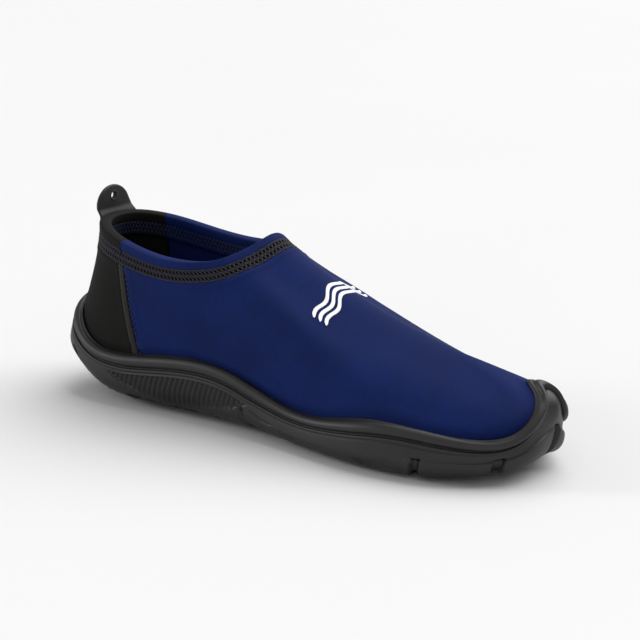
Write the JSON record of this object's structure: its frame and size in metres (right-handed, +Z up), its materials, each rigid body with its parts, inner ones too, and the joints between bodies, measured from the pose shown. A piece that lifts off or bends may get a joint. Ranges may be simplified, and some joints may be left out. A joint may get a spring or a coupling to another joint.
{
  "type": "neoprene water shoe",
  "caption": "Low slip-on water shoe for the right foot: stitched neoprene upper, wavy rubber cup sole with lugs, removable footbed and a flexible heel pull tab.",
  "frame": {"origin": "on the ground, at the middle of the sole outline's length and width; the toe cap swells 2 mm past the outline", "axes": "+X to the toe, +Y to the inner side of the foot, +Z up"},
  "size_m": [0.2831, 0.099, 0.102],
  "materials": {
    "outsole_rubber": "semi-matte moulded",
    "tab_rubber": "semi-matte moulded",
    "navy_neoprene": "fine jersey faced foam",
    "black_neoprene": "fine jersey faced foam",
    "thread": "stitched thread",
    "board_fabric": "woven",
    "footbed_fabric": "knit faced foam",
    "print_film": "satin print"
  },
  "bodies": {
    "shoe": {"outsole": "outsole_rubber", "strobel_board": "board_fabric", "strobel_seam": "thread", "footbed": "footbed_fabric", "vamp": "navy_neoprene", "heel_panel": "black_neoprene", "collar_coverstitch": "thread", "heel_seam_outer": "thread", "heel_seam_inner": "thread", "pull_tab_base": "tab_rubber", "pull_tab_stitching": "thread", "instep_wave_1": "print_film", "instep_wave_2": "print_film", "instep_wave_3": "print_film"},
    "pull_tab": {"pull_tab_flap": "tab_rubber"}
  },
  "joints": [
    {"name": "pull_tab_flex", "type": "hinge", "parent": "shoe", "child": "pull_tab", "pos_m": [-0.1262, 0.0059, 0.0906], "axis": [0, 1, 0], "range_deg": [-70, 75], "stiffness_Nm_per_rad": 0.004}
  ]
}
